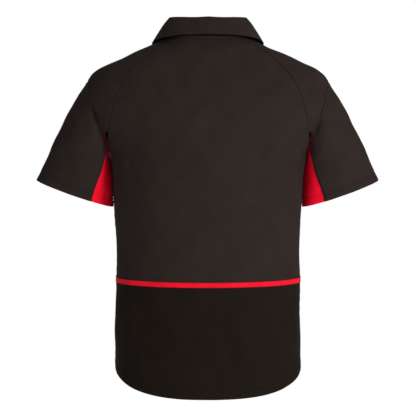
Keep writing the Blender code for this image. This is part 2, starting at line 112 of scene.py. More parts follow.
# ---- hems: where the needles ran, where the turned cloth ends, and how far the close
# rows beside the edge go ----
Hem = namedtuple("Hem", "needles turning marks_end")
HEMS = {"cuff": Hem((12.5, 18.0), 19.5, 27), "hem": Hem((15.5,), 17.0, 36)}
HEM_MARK_STEP = 1.0
HEM_RIDGE = 0.21
HEM_RIDGE_STEP = 0.6
TURNING_STEP = 0.4
NEEDLE_GROOVE = 1.1
NEEDLE_GROOVE_WIDTH = 1.1
EDGE_STEP = 0.2

# ---- stitches ----
STITCH_PITCH = 3.3
STITCH_LENGTH = 2.7
STITCH_WIDTH = 0.6
STITCH_HEIGHT = 0.42
STITCH_RISE = 0.15
STITCH_SIDES = 6
STITCH_RINGS = 5
LOOK_AHEAD = 0.5
HEM_THREADS = {
    "sleeve_right": "dark_thread",
    "sleeve_left": "dark_thread",
    "gusset_right": "red_thread",
    "gusset_left": "red_thread",
    "lower_back_panel": "dark_thread",
    "front_panel": "dark_thread",
}

# Where each sheet starts: a point near its outer side, then near the two ends of
# its first row. Rows rise from the hem, and turn outwards round the body.
Piece = namedtuple(
    "Piece", "seed first_end second_end step edges finish cloth cut area held rests_on")
PIECES = {
    "back_panel": Piece(
        (0, -200, -300), (-185, 0, -479.5), (185, 0, -479.5), 2.9,
        ("tape", "seam", "seam", "seam"), "upper_cloth", CLOTH,
        (0.56, 0.48), 0.20, "hung", ("shoulder_panel_left", "shoulder_panel_right")),
    "lower_back_panel": Piece(
        (0, -200, -600), (-186, 0, -647), (186, 0, -647), 2.8,
        ("hem", "tape", "seam", "seam"), "lower_cloth", CLOTH,
        (0.50, 0.22), 0.098, "hung", ("back_panel",)),
    "front_panel": Piece(
        (0, 200, -400), (186, 0, -647), (-186, 0, -647), 3.2,
        ("hem", "seam", "seam", "seam"), "upper_cloth", CLOTH,
        (0.56, 0.67), 0.28, "hung", ("shoulder_panel_left", "shoulder_panel_right")),
    "collar_stand": Piece(
        (0, -80, 12), (-60, 100, -124), (60, 100, -124), 2.2,
        ("seam", "plain", "plain", "plain"), "collar_cloth", COLLAR_CLOTH,
        (0.60, 0.05), 0.017, "draped", ("back_panel", "front_panel")),
    "collar_leaf": Piece(
        (0, -200, 20), (40, 100, -100), (-40, 100, -100), 2.2,
        ("plain", "plain", "plain", "plain"), "collar_cloth", COLLAR_CLOTH,
        (0.62, 0.09), 0.038, "folded", ("collar_stand",)),
    "back_tape": Piece(
        (0, -200, -486), (-185, 0, -484.5), (185, 0, -484.5), 1.3,
        ("plain", "plain", "plain", "plain"), "tape", TAPE_CLOTH,
        (0.49, 0.01), 0.0047, "laid", ("back_panel", "lower_back_panel")),
    "shoulder_panel_right": Piece(
        (150, 0, 100), (216, -46, -194), (216, 46, -194), 2.5,
        ("seam", "seam", "seam", "seam"), "upper_cloth", CLOTH,
        (0.40, 0.17), 0.035, "draped", ()),
    "sleeve_right": Piece(
        (400, 0, -100), (230, -22, -329), (228, 48, -319), 2.5,
        ("cuff", "seam", "seam", "seam"), "upper_cloth", CLOTH,
        (0.33, 0.22), 0.049, "hung", ("shoulder_panel_right",)),
    "gusset_right": Piece(
        (192.5, 5, -300), (193.5, -63, -187), (193.5, 63, -187), 2.0,
        ("seam", "cuff", "seam", "seam"), "gusset_cloth", CLOTH,
        (0.14, 0.18), 0.0103, "hung", ("sleeve_right",)),
}


def mirrored(place):
    return (-place[0], *place[1:])


def left_of(right):
    """The left piece that mirrors a right one."""
    return right._replace(
        seed=mirrored(right.seed),
        first_end=mirrored(right.second_end),
        second_end=mirrored(right.first_end),
        rests_on=tuple(other.replace("right", "left") for other in right.rests_on))


PIECES.update({name + "_left": left_of(PIECES[name + "_right"])
               for name in ("shoulder_panel", "sleeve", "gusset")})

# ---- folds: soft ridges (+) and troughs (-) between two places in a view ----
# across and up are x and z in the back and front views, and y and z in the side views.
# A fold with a name runs only over the pieces whose names start with it.
Fold = namedtuple(
    "Fold", "view across up to_across to_up bow half_width height on", defaults=("",))
FOLDS = (
    # the back, below the shoulders
    Fold("back", 136, -90, 126, -420, 8, 17, 1.8),
    Fold("back", 104, -150, 98, -380, -6, 14, -1.3),
    Fold("back", -128, -120, -150, -330, -8, 16, -1.5),
    Fold("back", -98, -200, -108, -440, 5, 20, 1.1),
    Fold("back", -20, -70, -34, -260, 6, 22, 0.9),
    Fold("back", 40, -260, 28, -460, -5, 20, -0.9),
    # drag lines from the armpits
    Fold("back", 186, -196, 96, -256, -10, 8, 1.6),
    Fold("back", 184, -214, 120, -300, -12, 9, -1.5),
    Fold("back", -186, -198, -104, -246, 10, 9, 1.5),
    Fold("back", -184, -220, -132, -318, 12, 8, -1.6),
    # the lower back
    Fold("back", 148, -520, 176, -612, 6, 9, 2.0),
    Fold("back", 128, -530, 152, -640, 5, 10, -1.8),
    Fold("back", 30, -520, 48, -668, -6, 16, -1.4),
    Fold("back", -70, -505, -54, -650, 5, 15, 1.2),
    Fold("back", -128, -510, -112, -640, -7, 12, -1.7),
    Fold("back", -160, -500, -152, -600, 4, 9, 1.4),
    # the sleeves, seen from behind
    Fold("back", 219, -158, 209, -200, -2, 5, -4.2, "sleeve"),
    Fold("back", 243, -134, 226, -214, -5, 8, 1.6),
    Fold("back", 256, -146, 294, -250, 8, 12, -2.4),
    Fold("back", 236, -200, 262, -300, 5, 11, 1.6),
    Fold("back", 292, -170, 318, -262, 5, 9, 1.2),
    Fold("back", -228, -122, -208, -200, 3, 6, -5.4, "sleeve"),
    Fold("back", -244, -140, -225, -220, 5, 9, 1.7),
    Fold("back", -262, -150, -284, -262, -9, 13, -2.0),
    Fold("back", -238, -214, -262, -306, -5, 11, 1.4),
    Fold("back", -300, -182, -320, -268, -4, 9, 1.3),
    # the gussets, against the body
    Fold("right", 0, -150, 14, -370, 0, 15, 3.6, "gusset_left"),
    Fold("left", 0, -150, 14, -370, 0, 15, 3.6, "gusset_right"),
    # the shoulders
    Fold("back", 176, -60, 214, -84, -4, 9, 0.9),
    Fold("back", -170, -58, -212, -90, 4, 9, -0.9),
    # the front
    Fold("front", -132, -110, -124, -400, -8, 17, 1.7),
    Fold("front", 124, -120, 146, -340, 8, 16, -1.5),
    Fold("front", 60, -190, 84, -430, -8, 18, 1.2),
    Fold("front", -40, -240, -60, -470, 6, 20, -1.1),
    Fold("front", 186, -198, 100, -252, -10, 9, 1.5),
    Fold("front", -186, -196, -98, -260, 10, 8, 1.6),
    Fold("front", -184, -218, -128, -310, 12, 9, -1.5),
    Fold("front", 184, -216, 126, -320, -12, 8, -1.5),
    Fold("front", 40, -470, 70, -668, 8, 17, -1.8),
    Fold("front", 110, -480, 138, -640, 6, 12, 1.7),
    Fold("front", -60, -500, -88, -662, -7, 15, 1.8),
    Fold("front", -132, -470, -150, -630, -5, 11, -1.8),
    Fold("front", 232, -128, 214, -196, -4, 8, -3.0),
    Fold("front", -232, -126, -213, -198, 4, 7, -3.2),
    Fold("front", 262, -150, 288, -258, 8, 12, -2.1),
    Fold("front", -258, -146, -292, -250, -8, 12, -2.3),
    Fold("front", 240, -206, 262, -300, 5, 11, 1.5),
    Fold("front", -238, -204, -264, -304, -5, 11, 1.6),
    # the sides
    Fold("right", -30, -260, -52, -440, -6, 12, 1.6),
    Fold("right", 28, -270, 40, -470, 6, 13, -1.7),
    Fold("right", -20, -480, -34, -620, 4, 10, -1.6),
    Fold("right", 34, -490, 30, -630, -5, 11, 1.5),
    Fold("left", -34, -256, -48, -430, -5, 12, -1.6),
    Fold("left", 26, -264, 44, -480, 6, 12, 1.7),
    Fold("left", -24, -490, -30, -625, 4, 11, 1.5),
    Fold("left", 30, -480, 36, -622, 5, 10, -1.6),
)
FOLD_SAMPLES = 11
FOLD_REACH = 3
FOLD_FADE = 0.8
FACING = 0.15
SMALL = 1e-9
VIEW_AXES = {
    "back": (0, (0, -1, 0)),
    "front": (0, (0, 1, 0)),
    "right": (1, (1, 0, 0)),
    "left": (1, (-1, 0, 0)),
}

# ---- slow unevenness of the cloth: waves with uneven lengths ----
Wave = namedtuple("Wave", "length_x length_y length_z phase height")
WAVES = (
    Wave(143, 171, 233, 0.4, 0.55),
    Wave(-97, 131, 118, 2.1, 0.40),
    Wave(61, -83, 89, 4.0, 0.24),
    Wave(47, 58, -71, 1.3, 0.16),
)
# How much of the folds and waves a firmer cloth takes.
CALM = {"collar_cloth": 0.12}


# ======== points on the solids ========

def share_of_other_diagonal(edge):
    """The edge's length against the line between the far corners of its two triangles."""
    near, far = (next(vert for vert in face.verts if vert not in edge.verts)
                 for face in edge.link_faces)
    return edge.calc_length() / (near.co - far.co).length


def quad_diagonals(wall):
    """The edge to take out of each pair of triangles that was one quad: its longer diagonal.

    A triangle with one such edge left must use it, and that narrows its neighbours' choice.
    """
    shares = {edge: share_of_other_diagonal(edge) for edge in wall.edges if not edge.is_boundary}
    options = {face: {edge for edge in face.edges if shares.get(edge, 0) > 1 - DIAGONAL_SLACK}
               for face in wall.faces}

    def lead(edge):
        rivals = [shares.get(other, 0) for face in edge.link_faces for other in face.edges
                  if other is not edge]
        return shares[edge] - max(rivals)

    diagonals = []
    waiting = sorted(shares, key=lead)
    forced = [face for face, edges in options.items() if len(edges) == 1]
    while options and waiting:
        if forced:
            edge = next(iter(options.get(forced.pop(), ())), None)
        else:
            edge = waiting.pop()
        if edge is None or any(edge not in options.get(face, ()) for face in edge.link_faces):
            continue
        diagonals.append(edge)
        lost = set().union(*(options.pop(face) for face in edge.link_faces))
        for neighbour in {face for other in lost for face in other.link_faces if face in options}:
            options[neighbour] -= lost
            if len(options[neighbour]) == 1:
                forced.append(neighbour)
    return diagonals


def merged_wall(node):
    wall = bmesh.new()
    wall.from_mesh(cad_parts[node].data)
    bmesh.ops.remove_doubles(wall, verts=wall.verts[:], dist=MERGE_DISTANCE)
    return wall


def keep_side(wall, seed):
    """Keeps the faces on the seed's side of the wall, up to its sharp rim."""
    seed = Vector(seed) * MM
    broad = [face for face in wall.faces if face.calc_area() > RIM_AREA]
    start = min(broad, key=lambda face: (face.calc_center_median() - seed).length)
    side, waiting = {start}, [start]
    while waiting:
        for edge in waiting.pop().edges:
            if edge.calc_face_angle_signed() < RIM_ANGLE:
                new = [face for face in edge.link_faces if face not in side]
                side.update(new)
                waiting.extend(new)
    bmesh.ops.delete(wall, geom=[face for face in wall.faces if face not in side], context="FACES")


def next_row(row, used):
    """The vertices opposite a row, across faces that aren't used yet."""
    found = [None] * len(row)
    for i, (near, far) in enumerate(zip(row, row[1:])):
        edge = next(edge for edge in near.link_edges if edge.other_vert(near) is far)
        face = next((face for face in edge.link_faces if face not in used), None)
        if face is None:
            return None
        used.add(face)
        for place, vert, other in ((i, near, far), (i + 1, far, near)):
            found[place] = next(
                edge.other_vert(vert) for edge in vert.link_edges
                if edge in face.edges[:] and edge.other_vert(vert) is not other)
    return found


def rows_of(sheet, first_end, second_end):
    """The sheet's vertices as rows, starting with the one between two of its corners."""
    corners = [vert for vert in sheet.verts if len(vert.link_edges) == 2]

    def corner_at(place):
        return min(corners, key=lambda vert: (vert.co - Vector(place) * MM).length)

    start, end = corner_at(first_end), corner_at(second_end)
    runs = []
    for first_step in start.link_edges:
        run, edge = [start], first_step
        while run[-1] is start or run[-1] not in corners:
            run.append(edge.other_vert(run[-1]))
            edge = next((other for other in run[-1].link_edges
                         if other.is_boundary and other is not edge), None)
        runs.append(run)
    row = next(run for run in runs if run[-1] is end)
    rows, used = [], set()
    while row:
        rows.append([tuple(vert.co) for vert in row])
        row = next_row(row, used)
    return np.array(rows) / MM


def solid_points(node):
    """A grid of points on the outer side of the node, rows first."""
    piece = PIECES[node]
    wall = merged_wall(node)
    keep_side(wall, piece.seed)
    bmesh.ops.dissolve_edges(wall, edges=quad_diagonals(wall), use_verts=False)
    points = rows_of(wall, piece.first_end, piece.second_end)
    wall.free()
    return points


# ======== fine sheets ========

def smooth_rows(points, places):
    """Rows on smooth curves through the given rows, at fractional row numbers."""
    ends = 2 * points[[0, -1]] - points[[1, -2]]
    points = np.concatenate((ends[:1], points, ends[1:]))
    i = np.clip(places.astype(int), 0, len(points) - 4)
    t = (places - i)[:, None, None]
    a, b, c, d = (points[i + k] for k in range(4))
    return b + t / 2 * (c - a + t * (2 * a - 5 * b + 4 * c - d + t * (3 * (b - c) + d - a)))


def turned(grid):
    """The grid with its rows as columns."""
    return np.swapaxes(grid, 0, 1)


def travelled(points):
    """Distance along each column from the first row."""
    steps = np.linalg.norm(np.diff(points, axis=0), axis=-1)
    return np.concatenate((np.zeros((1,) + steps.shape[1:]), np.cumsum(steps, axis=0)))


def marks_beside(edge, step):
    """Distances from an edge to the rows beside it."""
    if edge in HEMS:
        return np.arange(0, HEMS[edge].marks_end, HEM_MARK_STEP)
    return np.array(SEAM_MARKS) if edge in SEWN else np.array((0, step / 2))


def places_between(points, step, first_edge, last_edge):
    """Fractional row numbers about a step apart, and closer beside the two edges."""
    reach = travelled(points).mean(axis=1)
    first = marks_beside(first_edge, step)
    last = reach[-1] - marks_beside(last_edge, step)[::-1]
    between = np.linspace(first[-1], last[0], max(2, round((last[0] - first[-1]) / step) + 1))
    marks = np.concatenate((first, between[1:-1], last))
    return np.interp(marks, reach, np.arange(len(points)))


def closed_seams(points, first_edge, last_edge):
    """The grid with its first and last rows moved out to meet the next piece."""
    for edge, row, inner in ((first_edge, 0, 1), (last_edge, -1, -2)):
        if edge in SEWN:
            outward = points[row] - points[inner]
            points[row] += outward / np.linalg.norm(outward, axis=-1)[:, None] * SEAM_CLOSE
    return points


def fine_points(node):
    """The node's outer side as a fine grid, with closer rows beside seams and hems."""
    piece = PIECES[node]
    bottom, top, near, far = piece.edges
    points = solid_points(node)
    points = smooth_rows(points, places_between(points, piece.step, bottom, top))
    points = turned(closed_seams(points, bottom, top))
    points = smooth_rows(points, places_between(points, piece.step, near, far))
    return turned(closed_seams(points, near, far))


def bell(distance, width):
    return np.exp(-(distance / width) ** 2)


def grid_normals(points):
    normals = np.cross(np.gradient(points, axis=1), np.gradient(points, axis=0))
    return normals / np.linalg.norm(normals, axis=-1)[..., None]


def edge_lines(grid):
    """The grid's first and last rows, then its first and last columns."""
    return [grid[0], grid[-1], grid[:, 0], grid[:, -1]]


def edge_distances(points):
    """How far every point is from those four edges, along its column or its row."""
    by_row = travelled(points)
    by_column = turned(travelled(turned(points)))
    return [by_row, by_row[-1] - by_row, by_column, by_column[:, -1:] - by_column]


def shared_directions(grids):
    """Each sheet's normals, turned at its edges to those of the pieces sewn to it."""
    normals = {node: grid_normals(points) for node, points in grids.items()}
    edges = {node: list(zip(edge_lines(points), edge_lines(normals[node])))
             for node, points in grids.items()}
    tree = KDTree(sum(len(line) for lines in edges.values() for line, _ in lines))
    at_edge, owners = [], []
    for node, lines in edges.items():
        for line, line_normals in lines:
            for point, normal in zip(line, line_normals):
                tree.insert(point, len(owners))
                owners.append(node)
                at_edge.append(normal)
    tree.balance()

    def turn(node, line, line_normals):
        """How far each normal of an edge is from its mean with the next piece's."""
        turns = np.zeros(line.shape)
        for i, (point, normal) in enumerate(zip(line, line_normals)):
            others = [at_edge[j] for _, j, _ in tree.find_range(point, NEIGHBOUR_REACH)
                      if owners[j] != node and at_edge[j] @ normal > 0]
            if others:
                mean = normal + np.mean(others, axis=0)
                turns[i] = mean / np.linalg.norm(mean) - normal
        return turns

    shared = {}
    for node, points in grids.items():
        first, last, near, far = (turn(node, *edge) for edge in edges[node])
        turns = (first[None], last[None], near[:, None], far[:, None])
        new = normals[node]
        for amount, distance in zip(turns, edge_distances(points)):
            new = new + amount * bell(distance, TURN_REACH)[..., None]
        shared[node] = new / np.linalg.norm(new, axis=-1)[..., None]
    return shared


# ======== heights ========

def surface_places(view, samples, sheets):
    """Points on the jersey under places given in a view."""
    axis, facing = VIEW_AXES[view]
    seen = np.concatenate([points[normals @ facing > FACING] for points, normals in sheets])
    gaps = ((seen[None, :, [axis, 2]] - samples[:, None]) ** 2).sum(axis=2)
    return seen[gaps.argmin(axis=1)]


def fold_line(fold, sheets):
    """The fold's middle line on the jersey: a bowed line in its view."""
    start, end = np.array((fold.across, fold.up)), np.array((fold.to_across, fold.to_up))
    t = np.linspace(0, 1, FOLD_SAMPLES)[:, None]
    sideways = np.array((start[1] - end[1], end[0] - start[0]))
    sideways = sideways / np.linalg.norm(sideways)
    samples = start + (end - start) * t + sideways * fold.bow * 4 * t * (1 - t)
    return surface_places(fold.view, samples, [
        sheet for node, sheet in sheets.items() if node.startswith(fold.on)])


def fold_height(fold, line, points):
    """The fold's height at each point: full at its middle, and fading to its ends."""
    reach = FOLD_REACH * fold.half_width
    near = ((points > line.min(axis=0) - reach) & (points < line.max(axis=0) + reach)).all(axis=1)
    height = np.zeros(len(points))
    nearest = np.full(near.sum(), np.inf)
    share = np.zeros(near.sum())
    for i, (start, end) in enumerate(zip(line, line[1:])):
        run = end - start
        offset = points[near] - start
        t = np.clip(offset @ run / (run @ run + SMALL), 0, 1)
        gap = ((offset - t[:, None] * run) ** 2).sum(axis=1)
        closer = gap < nearest
        nearest[closer] = gap[closer]
        share[closer] = (i + t[closer]) / (len(line) - 1)
    fading = np.sin(math.pi * share) ** FOLD_FADE
    height[near] = fold.height * np.exp(-nearest / fold.half_width ** 2) * fading
    return height


def slow_waves(points):
    height = 0
    for wave in WAVES:
        turns = points / (wave.length_x, wave.length_y, wave.length_z)
        height = height + wave.height * np.sin(2 * math.pi * turns.sum(axis=-1) + wave.phase)
    return height


def edge_gap(points, line):
    """Straight distance of every point of a grid from one of its edges."""
    rows = np.arange(0, len(line) - 1 + SMALL, EDGE_STEP)
    finer = smooth_rows(line[:, None], rows)[:, 0]
    tree = KDTree(len(finer))
    for i, point in enumerate(finer):
        tree.insert(point, i)
    tree.balance()
    gaps = [tree.find(point)[2] for point in points.reshape(-1, 3)]
    return np.array(gaps).reshape(points.shape[:2])


def edge_gaps(node, points):
    """For each of the four edges its kind, every point's distance from it, and its line."""
    edges = zip(PIECES[node].edges, edge_distances(points), edge_lines(points))
    return [(kind, edge_gap(points, line) if kind in HEMS else gap, line)
            for kind, gap, line in edges]


def within(gap, end, softness):
    """1 before the end and 0 past it, with a soft step."""
    return 1 / (1 + np.exp((gap - end) / softness))


def seam_relief(gap, along, valley):
    """The valley of a seam, the ridge of its turnings, and its puckers."""
    pucker = (np.sin(along / PUCKER_LENGTH + 2 * np.sin(along / PUCKER_DRIFT))
              * (0.6 + 0.4 * np.sin(along / PUCKER_SWELL + 1)))
    return (-valley * bell(gap, SEAM_VALLEY_WIDTH)
            + SEAM_RIDGE * bell(gap - SEAM_RIDGE_WIDTH / 2, SEAM_RIDGE_WIDTH / 2)
            + PUCKER * pucker * np.exp(-gap / PUCKER_REACH))


def hem_relief(gap, hem):
    """Needle grooves, and the doubled cloth that ends just past them."""
    height = HEM_RIDGE * within(gap, hem.turning, HEM_RIDGE_STEP)
    for needle in hem.needles:
        height = height - NEEDLE_GROOVE * bell(gap - needle, NEEDLE_GROOVE_WIDTH)
    return height


def edge_relief(gaps, points, seam):
    height = np.zeros(points.shape[:2])
    rows, columns = np.indices(points.shape[:2])
    for side, (kind, gap, line) in enumerate(gaps):
        if kind in SEWN:
            along = travelled(line)[columns if side < 2 else rows]
            height += seam_relief(gap, along, seam.valley)
        elif kind in HEMS:
            height += hem_relief(gap, HEMS[kind])
    return height


def cloth_height(node, points, gaps, lines):
    """Waves, folds, seams and hems, as a height at each point of a sheet."""
    finish = PIECES[node].finish
    flat = points.reshape(-1, 3)
    height = slow_waves(points)
    for fold, line in zip(FOLDS, lines):
        if node.startswith(fold.on):
            height = height + fold_height(fold, line, flat).reshape(points.shape[:2])
    return height * CALM.get(finish, 1) + edge_relief(gaps, points, SEAMS.get(finish))


# ======== turned and doubled cloth ========

def cloth_thickness(gaps, cloth):
    """Doubled where a hem is turned in."""
    turned_in = np.zeros(gaps[0][1].shape)
    for kind, gap, _ in gaps:
        if kind in HEMS:
            turned_in = np.maximum(turned_in, within(gap, HEMS[kind].turning, TURNING_STEP))
    return cloth + (TURNED_CLOTH - CLOTH) * turned_in


def rows_turned_in(points, thickness, first_edge, last_edge, seam):
    """The cloth turned inwards past its first and last rows where they are sewn."""
    normals = grid_normals(points)
    rows, walls = [points], [thickness]
    for edge, row, inner in ((first_edge, 0, 1), (last_edge, -1, -2)):
        if edge in SEWN:
            outward = points[row] - points[inner]
            outward -= normals[row] * (outward * normals[row]).sum(axis=-1)[:, None]
            outward /= np.linalg.norm(outward, axis=-1)[:, None]
            turned_in = points[row] + outward * seam.past - normals[row] * seam.depth
            place = 0 if row == 0 else len(rows)
            rows.insert(place, turned_in[None])
            walls.insert(place, thickness[row][None])
    return np.concatenate(rows), np.concatenate(walls)


def seams_turned_in(piece, points, thickness):
    """The grid and its thickness, with the cloth turned in past all of its seams."""
    seam = SEAMS.get(piece.finish)
    bottom, top, near, far = piece.edges
    points, thickness = rows_turned_in(points, thickness, bottom, top, seam)
    points, thickness = rows_turned_in(turned(points), turned(thickness), near, far, seam)
    return turned(points), turned(thickness)


# ======== meshes ========

def added(name, data):
    """A new object in the scene."""
    thing = bpy.data.objects.new(name, data)
    bpy.context.scene.collection.objects.link(thing)
    return thing


def add_piece(name, mesh, node=None):
    piece = added(name, mesh)
    mesh.shade_smooth()
    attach(piece, "root")
    if node:
        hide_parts(node)
    return piece


def grid_mesh(name, points):
    """A grid of faces through the points, with their distances as its UV map."""
    rows, columns = points.shape[:2]
    maker = bmesh.new()
    bmesh.ops.create_grid(maker, x_segments=columns - 1, y_segments=rows - 1, size=1)
    mesh = bpy.data.meshes.new(name)
    maker.to_mesh(mesh)
    maker.free()
    mesh.vertices.foreach_set("co", (points * MM).ravel())
    across = turned(travelled(turned(points)))
    across -= across[:, [columns // 2]]
    up = travelled(points)
    places = np.stack((across, up), axis=-1).reshape(-1, 2) * MM
    corner_verts = np.empty(len(mesh.loops), int)
    mesh.loops.foreach_get("vertex_index", corner_verts)
    layer = mesh.uv_layers.new(name=CLOTH_UV)
    layer.uv.foreach_set("vector", places[corner_verts].ravel().astype(np.float32))
    mesh.update()
    return mesh


def give_thickness(piece, thickness):
    """A wall inwards from the sheet, thicker where its cloth is doubled."""
    most = thickness.max()
    group = piece.vertex_groups.new(name="cloth")
    levels = np.round(thickness.ravel() / most, 2)
    for level in np.unique(levels):
        group.add(np.nonzero(levels == level)[0].tolist(), float(level), "REPLACE")
    wall = piece.modifiers.new("cloth", "SOLIDIFY")
    wall.thickness = most * MM
    wall.offset = -1
    wall.vertex_group = group.name
    wall.thickness_vertex_group = 0


def stitch_template():
    """One stitch as long as 1, lying along X."""
    maker = bmesh.new()
    bmesh.ops.create_uvsphere(maker, u_segments=STITCH_SIDES, v_segments=STITCH_RINGS, radius=0.5,
                              matrix=Matrix.Rotation(math.pi / 2, 4, "Y"))
    maker.verts.index_update()
    corners = np.array([tuple(vert.co) for vert in maker.verts])
    faces = [[vert.index for vert in face.verts] for face in maker.faces]
    maker.free()
    return corners, faces


def stitches(name, lines, finish):
    """Rows of stitches along lines of points and normals, joined into one mesh."""
    template, template_faces = stitch_template()
    size = np.array((STITCH_LENGTH, STITCH_WIDTH, STITCH_HEIGHT))
    corners, faces = [], []
    for line, normals in lines:
        reach = travelled(line)
        centres = np.arange(STITCH_PITCH / 2, reach[-1] - STITCH_PITCH / 4, STITCH_PITCH)
        at = [np.stack([np.interp(places, reach, axis) for axis in line.T], axis=1)
              for places in (centres - LOOK_AHEAD, centres, centres + LOOK_AHEAD)]
        up = np.stack([np.interp(centres, reach, axis) for axis in normals.T], axis=1)
        ahead = at[2] - at[0]
        ahead /= np.linalg.norm(ahead, axis=1)[:, None]
        side = np.cross(up, ahead)
        side /= np.linalg.norm(side, axis=1)[:, None]
        up = np.cross(ahead, side)
        for centre, *axes in zip(at[1] + up * STITCH_HEIGHT * STITCH_RISE, ahead, side, up):
            first = len(corners) * len(template)
            corners.append(centre + (template * size) @ np.array(axes))
            faces.extend([index + first for index in face] for face in template_faces)
    mesh = bpy.data.meshes.new(name)
    mesh.from_pydata((np.concatenate(corners) * MM).tolist(), [], faces)
    piece = add_piece(name, mesh)
    mesh.materials.append(MATERIALS[finish])
    return piece


def needle_line(points, normals, gap, needle):
    """The line on a sheet that runs a needle's distance from its hem."""
    line, up = [], []
    for column in range(points.shape[1]):
        gaps = gap[:, column]
        rows = np.arange(len(gaps))
        if gaps[0] > gaps[-1]:
            gaps, rows = gaps[::-1], rows[::-1]
        rise = np.maximum.accumulate(gaps)
        row = np.interp(needle, rise, rows)
        low = min(int(row), len(gaps) - 2)
        share = row - low
        line.append(points[low, column] * (1 - share) + points[low + 1, column] * share)
        up.append(normals[low, column])
    return np.array(line), np.array(up)


# ======== finishes ========

# The places of the Mix node's colour sockets: its share, its two colours and its result.
MIX_SHARE, MIX_FIRST, MIX_SECOND, MIX_RESULT = 0, 6, 7, 2
PATCH_SIZE = 34
LUMP_SIZE = 5
GRAIN_SIZE = 1.8
STRAND_SIZE = 0.35
CLOTH_SPECULAR = 0.07
THREAD_SPECULAR = 0.05

# Colours, roughness, the width and height of one knitted loop, the bumps' depth, sheen.
Knit = namedtuple("Knit", "dark light roughness wale course depth sheen")
KNITS = {
    "upper_cloth": Knit(
        (0.0118, 0.0076, 0.0061), (0.0192, 0.0130, 0.0110), 0.8, 0.95, 0.7, 0.11, 0.006),
    "lower_cloth": Knit(
        (0.0042, 0.0023, 0.0010), (0.0088, 0.0053, 0.0032), 0.8, 0.8, 0.6, 0.09, 0.005),
    "collar_cloth": Knit(
        (0.0124, 0.0082, 0.0067), (0.0200, 0.0138, 0.0118), 0.8, 1.3, 0.9, 0.16, 0.006),
    "gusset_cloth": Knit(
        (0.56, 0.0004, 0.0110), (0.74, 0.0020, 0.0200), 0.75, 0.95, 0.7, 0.10, 0.006),
}

# The tape's two reds: the lighter is a painted highlight on the ribs' crests, the darker is
# painted shade at its dipped borders, besides random wear.
TAPE_COLOURS = ((0.44, 0.0002, 0.0080), (0.80, 0.0050, 0.0270))
TAPE_MIDDLE = 5.0
TWILL_SLANT = 1.4
TWILL_PITCH = 2.3
# Where the borders' dip and its painted shade begin and become full, in millimetres from the
# tape's middle.
BORDER_START = 3.9
BORDER_FULL = 4.4

THREADS = {
    "dark_thread": ((0.004, 0.003, 0.002), (0.010, 0.008, 0.006)),
    "red_thread": ((0.26, 0.001, 0.006), (0.42, 0.003, 0.012)),
}


class Signal:
    """A node's output, with arithmetic that adds Math nodes."""

    def __init__(self, finish, output):
        self.finish, self.output = finish, output

    def __add__(self, other):
        return self.finish.math("ADD", self, other)

    def __sub__(self, other):
        return self.finish.math("SUBTRACT", self, other)

    def __rsub__(self, other):
        return self.finish.math("SUBTRACT", other, self)

    def __mul__(self, other):
        return self.finish.math("MULTIPLY", self, other)

    def __truediv__(self, other):
        return self.finish.math("DIVIDE", self, other)

    __radd__ = __add__
    __rmul__ = __mul__


class Finish:
    """A material whose nodes come from expressions on its signals."""

    def __init__(self, name):
        self.material = bpy.data.materials.new(name)
        self.material.use_nodes = True
        self.tree = self.material.node_tree
        self.shader = self.tree.nodes["Principled BSDF"]

    def node(self, kind, inputs=None, output=0, **settings):
        made = self.tree.nodes.new("ShaderNode" + kind)
        for key, value in settings.items():
            setattr(made, key, value)
        for key, value in (inputs or {}).items():
            self.feed(made.inputs[key], value)
        return Signal(self, made.outputs[output])

    def feed(self, socket, value):
        if isinstance(value, Signal):
            self.tree.links.new(value.output, socket)
        else:
            socket.default_value = value

    def math(self, operation, first, second=0.0):
        return self.node("Math", {0: first, 1: second}, operation=operation)

    def surface(self, **values):
        for key, value in values.items():
            self.feed(self.shader.inputs[key.replace("_", " ")], value)

    def clamped(self, value):
        return self.node("Clamp", {0: value})

    def blended(self, share, first, second):
        sockets = {MIX_SHARE: share, MIX_FIRST: (*first, 1), MIX_SECOND: (*second, 1)}
        return self.node("Mix", sockets, output=MIX_RESULT, data_type="RGBA")

    def across_and_up(self):
        """Distances over the cloth in millimetres."""
        places = self.node("UVMap", uv_map=CLOTH_UV)
        parts = self.node("SeparateXYZ", {0: places}).output.node.outputs
        return Signal(self, parts[0]) / MM, Signal(self, parts[1]) / MM

    def noise(self, size, detail=2.0):
        """Soft noise with lumps of about a size in millimetres, from 0 to 1."""
        places = self.node("TexCoord", output="Object")
        inputs = {"Vector": places, "Scale": 1 / (size * MM), "Detail": detail}
        return self.node("TexNoise", inputs)

    def bumped(self, height, depth):
        return self.node("Bump", {"Height": height, "Distance": depth * MM})


def knit(finish, wale, course):
    """Columns of V-shaped stitches, from 0 to 1."""
    across, up = finish.across_and_up()
    rib = finish.math("ABSOLUTE", finish.math("SINE", across * (math.pi / wale)))
    loop = finish.math("SINE", up * (2 * math.pi / course) + rib * 2.6)
    return rib * 0.6 + loop * 0.2 + 0.2


def knitted(name, look):
    finish = Finish(name)
    pattern = knit(finish, look.wale, look.course)
    patches = finish.noise(PATCH_SIZE, 3.0)
    lumps = finish.noise(LUMP_SIZE)
    grain = finish.noise(GRAIN_SIZE, 1.0)
    share = patches * 1.1 + lumps * 0.6 + grain * 0.6 + pattern * 0.2 - 0.8
    finish.surface(
        Base_Color=finish.blended(finish.clamped(share), look.dark, look.light),
        Roughness=finish.clamped(look.roughness + (patches - 0.5) * 0.16),
        Normal=finish.bumped(pattern + lumps * 1.2, look.depth),
        Sheen_Weight=look.sheen,
        Sheen_Roughness=0.45,
        Specular_IOR_Level=CLOTH_SPECULAR,
    )
    return finish.material


